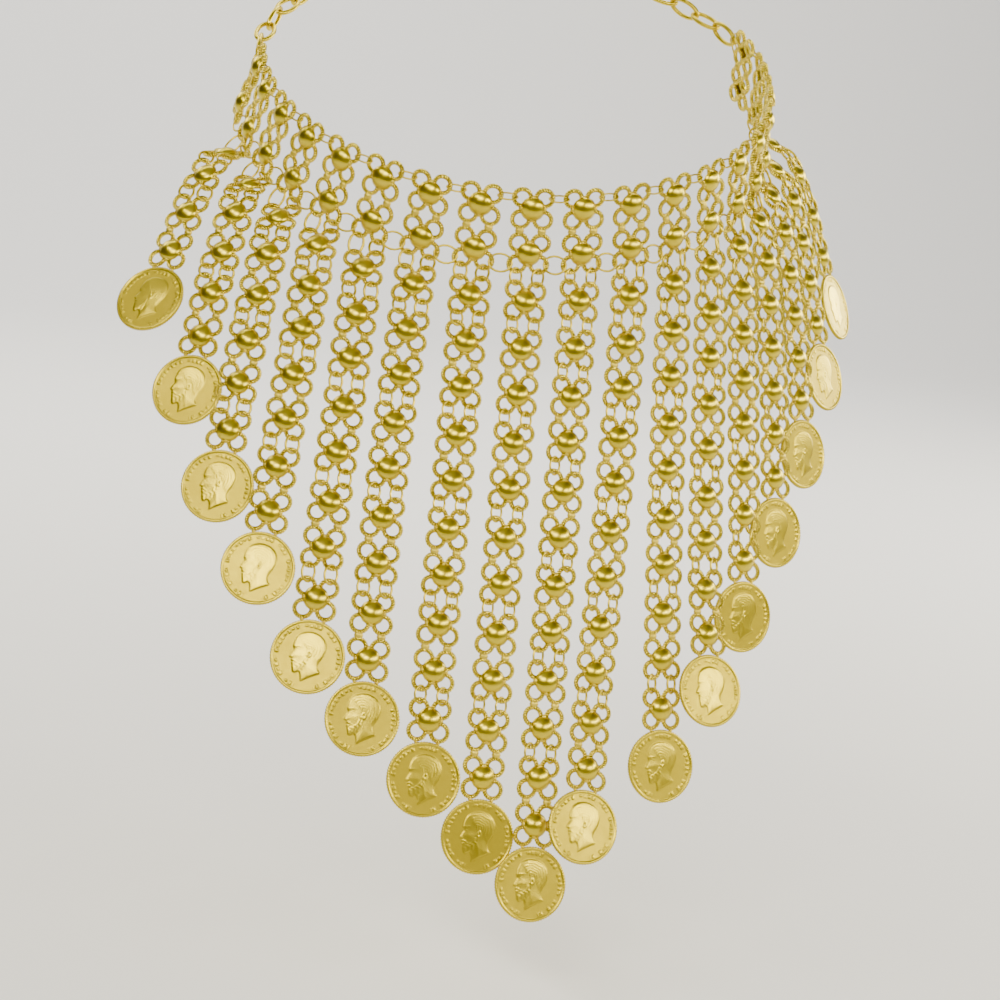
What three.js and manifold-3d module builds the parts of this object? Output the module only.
// A gold choker: a collar of soldered ring panels round the neck, seventeen hanging strips of the
// same ring units, and a coin at the end of each strip. A plain link chain and a barrel clasp close
// the loop at the nape. Millimetres, +Z up, the wearer's front towards -Y. The origin is the middle
// of the neck opening, the centre of the circle that the collar's upper units lie on.
import * as THREE from 'three';
import { mergeVertices } from 'three/addons/utils/BufferGeometryUtils.js';
import Module from 'manifold-3d';

const wasm = await Module();
wasm.setup();

// ---- driving dimensions ------------------------------------------------------------------------
const RING = { pitch: 5.8, od: 5.6, wire: 1.05 };     // four rings make one quatrefoil unit
const HALF = (RING.pitch + RING.od) / 2;              // half the width and height of a unit
const SOLDER_STEP = 12.0;                             // unit to unit where they are soldered
const JUMP_STEP = 12.8;                               // unit to unit across a pair of jump rings
const SIDE_PLAY = 0.022;                              // longer first jump rings where strip k turns away, * k^2
const BOSS = { r: 2.8, top: 1.7, flat: 1.6 };         // domed boss in the middle of a unit
const COIN = { d: 19.3, t: 1.1, drop: RING.pitch / 2 + 0.45 * RING.od + 19.3 / 2 };
const GAP = 0.3;                                      // play between separate pieces
const LAST_PANEL = 9;                                 // panels run from -9 to 9, 0 at the throat
const LAST_STRIP = 8;
const COLLAR = { r: 72, turn: 10.8, pitch: 24.9, side: -7.7, lean: -9.5, leanGain: 0.28 };
const LINK = { width: 6, wire: 1.5, count: 10, bite: 0.3 };   // bite joins a link to the next
const CLASP = { length: 12, r: 2.6 };
const GOLD = { color: 0xd8b24c, roughness: 0.32, metalness: 1 };

// Units in each soldered group of a strip, from the collar down, for strips 0 to 8.
const GROUPS = [
  [1, 1, 2, 2, 2, 2, 2], [1, 2, 2, 2, 2, 2], [1, 2, 2, 2, 2, 1], [1, 2, 2, 2, 2],
  [1, 2, 2, 2, 1], [1, 2, 2, 2], [1, 2, 2, 1], [1, 2, 2], [1, 1, 2],
];

// The chest that the strips lie on, in degrees: its slope away from the vertical, steeper near the
// shoulders and just under the collar, and the way it faces.
const SLOPE = { base: 17.1, tilt: -0.72, gain: 0.158, top: 2.1, topGain: 1.83, fade: 7.6 };
const FACING = { start: 3.5, perStrip: 3.19, cubic: 0.037, perMm: -0.011, follow: 9 };
const LEAN = -2.6;

// How single strips hang out of line: sway sideways in degrees, swing (more sway per 100 mm), slack
// in mm at each pair of jump rings, kick, the outward tilt in degrees of the last soldered group,
// which brings its coin in front of its neighbours or behind them, and turn, the turn of the coin.
const HANG = {
  '-8': { sway: 4 }, '-7': { sway: 4, slack: -0.6, kick: -5 }, '-6': { sway: 2, swing: 1, kick: -5 },
  '-5': { sway: 1.5, swing: -1 }, '-4': { sway: 0.5, slack: 0.4, turn: -4 },
  '-3': { sway: -2.5, swing: 4, turn: -3 }, '-2': { slack: -0.2 }, '-1': { sway: -0.5, kick: -2 },
  0: { sway: -1.3, kick: 2 }, 1: { sway: -1.2, swing: -2.5, slack: 0.2, kick: 7 }, 2: { sway: -1.5, swing: 2.5, slack: 0.2 },
  3: { sway: -2, swing: 2, kick: 6 }, 4: { sway: -2, swing: 2.5, slack: -0.2, kick: -4 },
  5: { sway: -1.5, swing: 2, slack: -0.8, kick: -3 }, 6: { sway: 0.5, swing: -2, slack: -1, kick: -3 },
  7: { sway: 1.5, swing: -1, slack: -1 }, 8: { sway: 6 },
};

const rad = THREE.MathUtils.degToRad;
const UP = new THREE.Vector3(0, 0, 1);
const root = new THREE.Group();

// ---- frames: centre c, sideways l, downwards d, outwards n = d x l -----------------------------
function frame(c, l, d) {
  return { c, l, d, n: new THREE.Vector3().crossVectors(d, l) };
}

function at(f, x, y, z) {
  return f.c.clone().addScaledVector(f.l, x).addScaledVector(f.d, -y).addScaledVector(f.n, z);
}

const collarTilt = new THREE.Matrix4().makeRotationY(rad(COLLAR.side))
  .multiply(new THREE.Matrix4().makeRotationX(rad(COLLAR.pitch)));

function collarFrame(k) {
  const h = rad(COLLAR.turn * k);
  const lean = rad(COLLAR.lean + COLLAR.leanGain * k * k);
  const c = new THREE.Vector3(Math.sin(h), -Math.cos(h), 0).multiplyScalar(COLLAR.r);
  const l = new THREE.Vector3(Math.cos(h), Math.sin(h), 0).transformDirection(collarTilt);
  const d = new THREE.Vector3(Math.sin(h), -Math.cos(h), 0).multiplyScalar(Math.sin(lean));
  d.addScaledVector(UP, -Math.cos(lean));
  d.addScaledVector(l, -d.dot(l)).normalize();
  return frame(c.applyMatrix4(collarTilt), l, d);
}

function stepDown(f, step) {
  return frame(at(f, 0, -step, 0), f.l, f.d);
}

// One frame per unit of strip k and one for its coin. Each soldered group is straight, and the
// strip bends only at the jump rings, half way between the units above and below.
function stripFrames(k) {
  const { sway = 0, swing = 0, slack = 0, turn = 0, kick = 0 } = HANG[k];
  const jump = JUMP_STEP + slack;
  const units = [];
  let hinge = at(stepDown(collarFrame(k), SOLDER_STEP), 0, -jump / 2 - SIDE_PLAY * k * k, 0);
  let s = jump / 2;
  let l, d;
  GROUPS[Math.abs(k)].forEach((count, i, groups) => {
    const length = (count - 1) * SOLDER_STEP + jump;
    const mid = s + (length - jump) / 2;
    const slope = rad(SLOPE.base + SLOPE.tilt * k + SLOPE.gain * k * k + (i === groups.length - 1 ? kick : 0)
      + (SLOPE.top + SLOPE.topGain * k * k) * Math.exp(-mid / SLOPE.fade));
    const face = rad(FACING.start + FACING.perStrip * k + FACING.cubic * k ** 3 + FACING.perMm * mid);
    const side = rad(LEAN + sway + swing * mid / 100);
    const out = new THREE.Vector3(Math.sin(face), -Math.cos(face), 0);
    const across = new THREE.Vector3(Math.cos(face), Math.sin(face), 0);
    const fall = out.multiplyScalar(Math.sin(slope)).addScaledVector(UP, -Math.cos(slope));
    d = fall.clone().multiplyScalar(Math.cos(side)).addScaledVector(across, Math.sin(side));
    l = across.multiplyScalar(Math.cos(side)).addScaledVector(fall, -Math.sin(side));
    const twist = (rad(COLLAR.turn * k) - face) * Math.exp(-mid / FACING.follow) * Math.cos(slope) ** 2;
    l.applyAxisAngle(d, -twist);                 // just below the collar the strip still faces with it
    for (let j = 0; j < count; j++) {
      units.push(frame(hinge.clone().addScaledVector(d, jump / 2 + j * SOLDER_STEP), l, d));
    }
    hinge = at(units[units.length - 1], 0, -jump / 2, 0);
    s += length;
  });
  const hung = stepDown(units[units.length - 1], COIN.drop);
  const coinL = l.clone().applyAxisAngle(d, -rad(turn));
  return { units, coin: frame(hung.c, coinL, d) };
}

// ---- mesh and solid helpers --------------------------------------------------------------------
function solid(points) {
  const geometry = new THREE.BufferGeometry().setFromPoints(points);
  const merged = mergeVertices(geometry, 1e-4);
  const index = Array.from(merged.index.array);
  const triVerts = [];
  for (let i = 0; i < index.length; i += 3) {
    const [a, b, c] = index.slice(i, i + 3);
    if (a !== b && b !== c && a !== c) triVerts.push(a, b, c);
  }
  return new wasm.Manifold(new wasm.Mesh({
    numProp: 3, vertProperties: merged.attributes.position.array, triVerts: new Uint32Array(triVerts),
  }));
}

// The corner points of a geometry's triangles, each put through move(x, y, z).
function corners(geometry, move) {
  const flat = geometry.index ? geometry.toNonIndexed() : geometry;
  const p = flat.attributes.position;
  return Array.from({ length: p.count }, (_, i) => move(p.getX(i), p.getY(i), p.getZ(i)));
}

function add(name, manifold) {
  const mesh = manifold.getMesh();
  const geometry = new THREE.BufferGeometry();
  geometry.setAttribute('position', new THREE.BufferAttribute(new Float32Array(mesh.vertProperties), 3));
  geometry.setIndex(new THREE.BufferAttribute(new Uint32Array(mesh.triVerts), 1));
  geometry.computeVertexNormals();
  const part = new THREE.Mesh(geometry, new THREE.MeshStandardMaterial(GOLD));
  part.name = name;
  root.add(part);
}

function union(solids) {
  return solids.reduce((a, b) => a.add(b));
}

// ---- the ring unit -----------------------------------------------------------------------------
// Each end of a unit has two necks over its outer rings. y is where the necks end, half their
// half-width. An open neck runs on into the next unit, a closed one has a face of its own.
const ENDS = {
  solder: { y: SOLDER_STEP / 2, half: 0.95, open: true },
  jump: { y: JUMP_STEP / 2, half: 0.45, open: true },
  hook: { y: HALF + GAP, half: 0.45, open: false },
  plain: { y: HALF, half: 0.95, open: false },
  coin: { y: HALF - 0.35, half: 0.6, open: false },
};

// The flat outline of four soldered rings with its waists, and notches where necks leave the
// diamond-shaped gap between two units. tabs: side jump rings, [top right, bottom right] points.
function unitOutline(top, bottom, tabs = {}) {
  const x = RING.pitch / 2;
  const right = [[x - top.half, top.y], [x + top.half, top.y]];
  right.push(...(tabs.upper ?? [[HALF, x]]), [HALF - 1, 0], ...(tabs.lower ?? [[HALF, -x]]));
  right.push([x + bottom.half, -bottom.y], [x - bottom.half, -bottom.y]);
  const left = [[-x + bottom.half, -bottom.y], [-x - bottom.half, -bottom.y], [-HALF, -x]];
  left.push([-HALF + 1, 0], [-HALF, x], [-x - top.half, top.y], [-x + top.half, top.y]);
  return [[0, HALF - 1.3], ...right, [0, -HALF + 1.3], ...left].map(([a, b]) => new THREE.Vector2(a, b));
}

// A unit's triangles without the faces inside open necks. move(x, y, z, where) places each corner,
// and where is 1 on the upper necks' ends, -1 on the lower ones and 0 anywhere else.
function unitFaces(top, bottom, move, tabs) {
  const outline = unitOutline(top, bottom, tabs).reverse();
  const plate = new THREE.ExtrudeGeometry(new THREE.Shape(outline), { depth: RING.wire, bevelEnabled: false });
  const where = (y) => (y > top.y - 1e-4 ? 1 : y < -bottom.y + 1e-4 ? -1 : 0);
  const points = corners(plate, (x, y, z) => [x, y, z - RING.wire / 2, where(y)]);
  const out = [];
  for (let i = 0; i < points.length; i += 3) {
    const tri = points.slice(i, i + 3);
    const inNeck = (side, end) => end.open && tri.every((p) => p[3] === side);
    if (!inNeck(1, top) && !inNeck(-1, bottom)) out.push(...tri.map((p) => move(...p)));
  }
  return out;
}

function boss(f) {
  const profile = [[0, 0], [BOSS.r, 0], [BOSS.flat, BOSS.top * 0.85], [0, BOSS.top]];
  const dome = new THREE.LatheGeometry(profile.map(([r, z]) => new THREE.Vector2(r, z)), 6);
  return solid(corners(dome, (x, y, z) => at(f, x, -z, y)));
}

// ---- collar panels: two units soldered one under the other -------------------------------------
// A jump ring on the right of each panel, level with row y of its unit, reaches to a small gap
// short of the next panel.
function sideTab(unit, next, y) {
  const edge = at(next, -HALF, y, 0).sub(unit.c);
  const reach = edge.dot(unit.l) - GAP;
  const level = (y - edge.dot(unit.d)) / 2;
  const w = 0.4;
  return [[HALF - 0.25, y + w], [reach, level + w], [reach, level - w], [HALF - 0.25, y - w]];
}

function panel(k) {
  const upper = collarFrame(k);
  const lower = stepDown(upper, SOLDER_STEP);
  const tabs = [{}, {}];
  if (k < LAST_PANEL) {
    const next = collarFrame(k + 1);
    tabs[0].upper = sideTab(upper, next, RING.pitch / 2);
    tabs[1].lower = sideTab(lower, stepDown(next, SOLDER_STEP), -RING.pitch / 2);
  }
  const faces = [
    ...unitFaces(ENDS.plain, ENDS.solder, (x, y, z) => at(upper, x, y, z), tabs[0]),
    ...unitFaces(ENDS.solder, ENDS.plain, (x, y, z) => at(lower, x, y, z), tabs[1]),
  ];
  add(`collar_panel_${String(k + LAST_PANEL + 1).padStart(2, '0')}`, union([solid(faces), boss(upper), boss(lower)]));
}

// ---- strips and coins --------------------------------------------------------------------------
function strip(k) {
  const { units, coin } = stripFrames(k);
  const collar = stepDown(collarFrame(k), SOLDER_STEP);
  const jump = { ...ENDS.jump, y: (JUMP_STEP + (HANG[k].slack ?? 0)) / 2 };
  const joints = GROUPS[Math.abs(k)].flatMap((n) => [...Array(n - 1).fill(ENDS.solder), jump]);
  joints[joints.length - 1] = ENDS.coin;
  const faces = [];
  units.forEach((f, i) => {
    const top = i ? joints[i - 1] : ENDS.hook;
    const bottom = joints[i];
    const last = i === units.length - 1;
    faces.push(...unitFaces(top, bottom, (x, y, z, where) => {
      const own = at(f, x, y, z);
      if (where === 1 && i === 0) return at(collar, x, -HALF - GAP, z);
      if (where === 1) return own.add(at(units[i - 1], x, -y, z)).multiplyScalar(0.5);
      if (where === -1 && !last) return own.add(at(units[i + 1], x, -y, z)).multiplyScalar(0.5);
      return own;
    }));
  });
  const number = String(k + LAST_STRIP + 1).padStart(2, '0');
  add(`strip_${number}`, union([solid(faces), ...units.map(boss)]));

  const disc = new THREE.CylinderGeometry(COIN.d / 2, COIN.d / 2, COIN.t, 16);
  const turn = Math.PI / 16;
  add(`coin_${number}`, solid(corners(disc, (x, y, z) => at(coin,
    x * Math.cos(turn) - z * Math.sin(turn), x * Math.sin(turn) + z * Math.cos(turn), -y))));
}

// ---- the hidden back: plain links on the collar's own circle, and a barrel clasp ----------------
function circleFrame(h) {
  const c = new THREE.Vector3(Math.sin(h), -Math.cos(h), 0).multiplyScalar(COLLAR.r).applyMatrix4(collarTilt);
  const l = new THREE.Vector3(Math.cos(h), Math.sin(h), 0).transformDirection(collarTilt);
  const d = new THREE.Vector3(0, 0, -1).transformDirection(collarTilt);
  return frame(c, l, d);
}

// Links alternate between lying flat and standing on edge, each a little into the next.
function backChain(side, name) {
  const start = rad(COLLAR.turn * LAST_PANEL) + (HALF + GAP) / COLLAR.r;
  const end = Math.PI - (CLASP.length / 2 + 1.5 * GAP) / COLLAR.r;
  const overlap = 2 * LINK.wire - LINK.bite;
  const length = ((end - start) * COLLAR.r + (LINK.count - 1) * overlap) / LINK.count;
  const [a, b, w] = [length / 2, LINK.width / 2, LINK.wire];
  const turned = (points) => [...points, ...points.map(([x, y]) => [-x, -y])].map((p) => new THREE.Vector2(...p));
  const shape = new THREE.Shape(turned([[a, -1.2], [a, 1.2], [a - 1.8, b], [1.8 - a, b]]));
  shape.holes.push(new THREE.Path(turned([[a - w, w - b], [a - w, b - w]])));
  const link = new THREE.ExtrudeGeometry(shape, { depth: w, bevelEnabled: false });
  const links = Array.from({ length: LINK.count }, (_, i) => {
    const f = circleFrame(side * (start + (a + i * (length - overlap)) / COLLAR.r));
    return solid(corners(link, (x, y, z) => (i % 2 ? at(f, x, z - w / 2, -y) : at(f, x, y, z - w / 2))));
  });
  add(name, union(links));
}

function clasp() {
  const f = circleFrame(Math.PI);
  const [h, r] = [CLASP.length / 2, CLASP.r];
  const profile = [[0, -h], [r * 0.45, -h], [r, 1.6 - h], [r, h - 1.6], [r * 0.45, h], [0, h]];
  const barrel = new THREE.LatheGeometry(profile.map(([x, y]) => new THREE.Vector2(x, y)), 12);
  add('barrel_clasp', solid(corners(barrel, (x, y, z) => at(f, y, -x, z))));
}

for (let k = -LAST_PANEL; k <= LAST_PANEL; k++) panel(k);
for (let k = -LAST_STRIP; k <= LAST_STRIP; k++) strip(k);
backChain(-1, 'back_chain_left');
backChain(1, 'back_chain_right');
clasp();

export default root;
